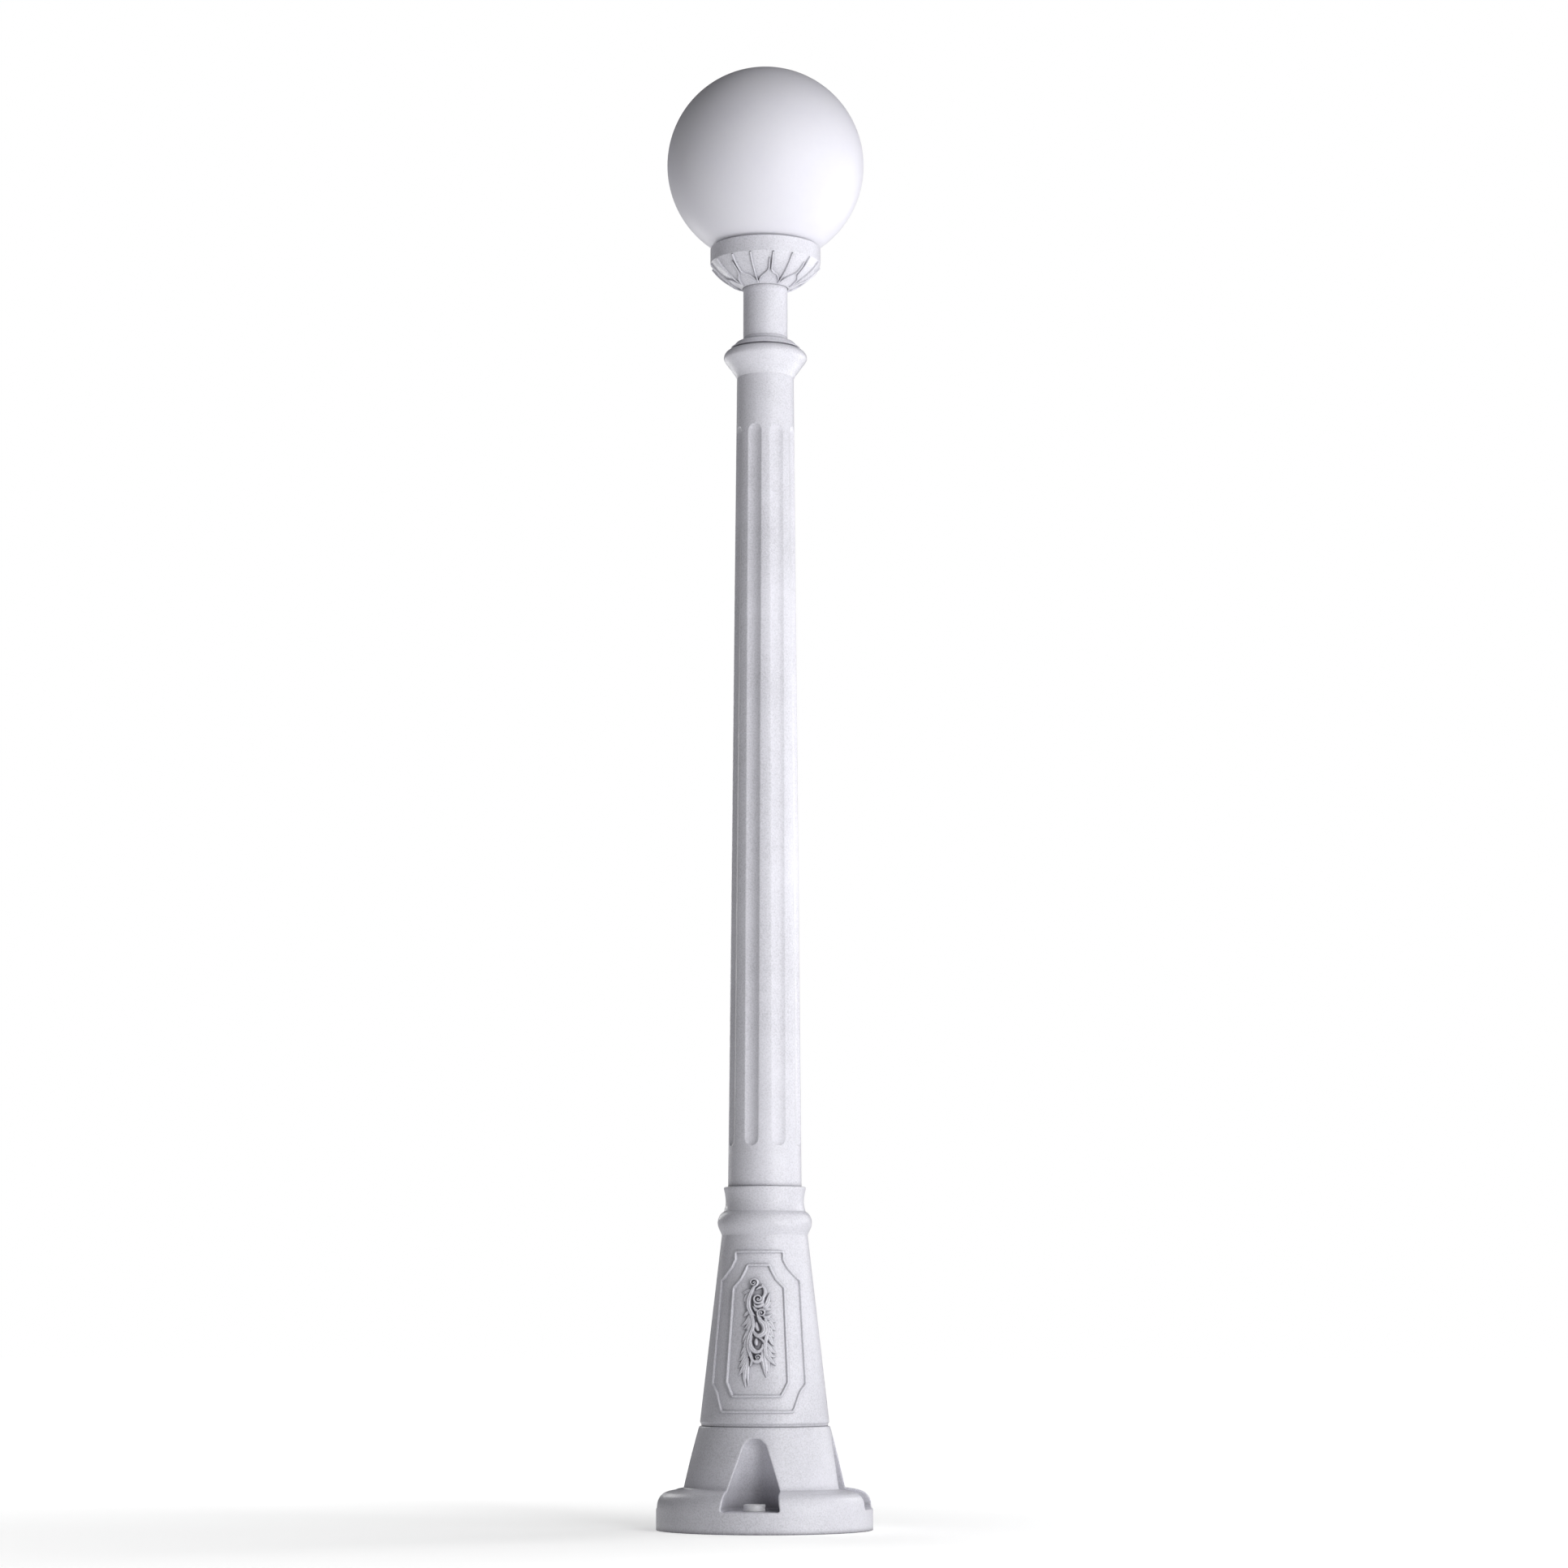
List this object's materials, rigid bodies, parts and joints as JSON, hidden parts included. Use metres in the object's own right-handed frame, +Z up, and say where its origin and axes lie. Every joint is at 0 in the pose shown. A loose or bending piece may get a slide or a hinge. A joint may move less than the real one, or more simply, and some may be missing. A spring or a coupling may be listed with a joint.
{
  "type": "garden lamp post",
  "caption": "White garden lamp post: opal globe in a ribbed holder on a fluted, tapered column, with a framed and scrolled cast pedestal and a round bolt-down base.",
  "frame": {"origin": "centre of the base flange's underside, on the ground", "axes": "+Z up along the column, -Y towards the front, where one bolt recess and one framed panel are, +X to the front's right"},
  "size_m": [0.3166, 0.3166, 2.2017],
  "materials": {
    "white_paint": "satin",
    "opal_globe": "gloss",
    "white_cap": "satin",
    "galvanised_steel": "matte",
    "zinc_fastener": "satin",
    "spring_steel": "polished",
    "brass": "satin",
    "nickel": "polished",
    "black_rubber": "matte",
    "dark_plastic": "matte",
    "porcelain": "gloss",
    "terminal_plastic": "matte",
    "cable_sheath": "matte",
    "lead_insulation": "matte",
    "bulb_glass": "satin",
    "black_glass": "gloss"
  },
  "bodies": {
    "post": {"base_plinth": "white_paint", "pedestal_shell": "white_paint", "panel_scroll_front": "white_paint", "panel_scroll_rear": "white_paint", "core_tube": "galvanised_steel", "foot_plate": "galvanised_steel", "foot_plate_bolts": "zinc_fastener", "supply_inlet": "dark_plastic", "inlet_pins": "brass", "inlet_seal": "black_rubber", "inlet_screws": "zinc_fastener", "centring_ring": "dark_plastic", "column_shaft": "white_paint", "column_capital": "white_paint", "spigot_sleeve": "white_paint", "sleeve_grub_screws": "zinc_fastener", "globe_holder": "white_paint", "holder_screws": "zinc_fastener", "globe_gasket": "black_rubber", "globe_clips": "spring_steel", "clip_rivets": "zinc_fastener", "lamp_bracket": "galvanised_steel", "bracket_screws": "zinc_fastener", "terminal_block": "terminal_plastic", "terminal_screws": "zinc_fastener", "earth_screw": "brass", "internal_cable": "cable_sheath", "lamp_leads": "lead_insulation", "lampholder_body": "porcelain", "lampholder_shell": "brass", "lampholder_contact": "brass", "lampholder_screws": "zinc_fastener", "anchor_washers": "zinc_fastener", "anchor_nuts": "zinc_fastener", "anchor_caps": "white_cap"},
    "globe_body": {"globe": "opal_globe"},
    "lamp_lead": {"lamp_tip_contact": "nickel"},
    "lamp_body": {"lamp_cap": "nickel", "lamp_insulator": "black_glass", "lamp_glass": "bulb_glass"}
  },
  "joints": [
    {"name": "globe_lift", "type": "slide", "parent": "post", "child": "globe_body", "axis": [0, 0, 1], "range_m": [0, 0.17]},
    {"name": "lamp_rise", "type": "slide", "parent": "post", "child": "lamp_lead", "axis": [0, 0, 1], "range_m": [0, 0.0183]},
    {"name": "lamp_turn", "type": "hinge", "parent": "lamp_lead", "child": "lamp_body", "pos_m": [0, 0, 1.955], "axis": [0, 0, 1], "range_deg": [0, 1800]}
  ],
  "couplings": [
    {"joint": "lamp_rise", "follows": "lamp_turn", "m_per_rad": 0.00057758}
  ]
}
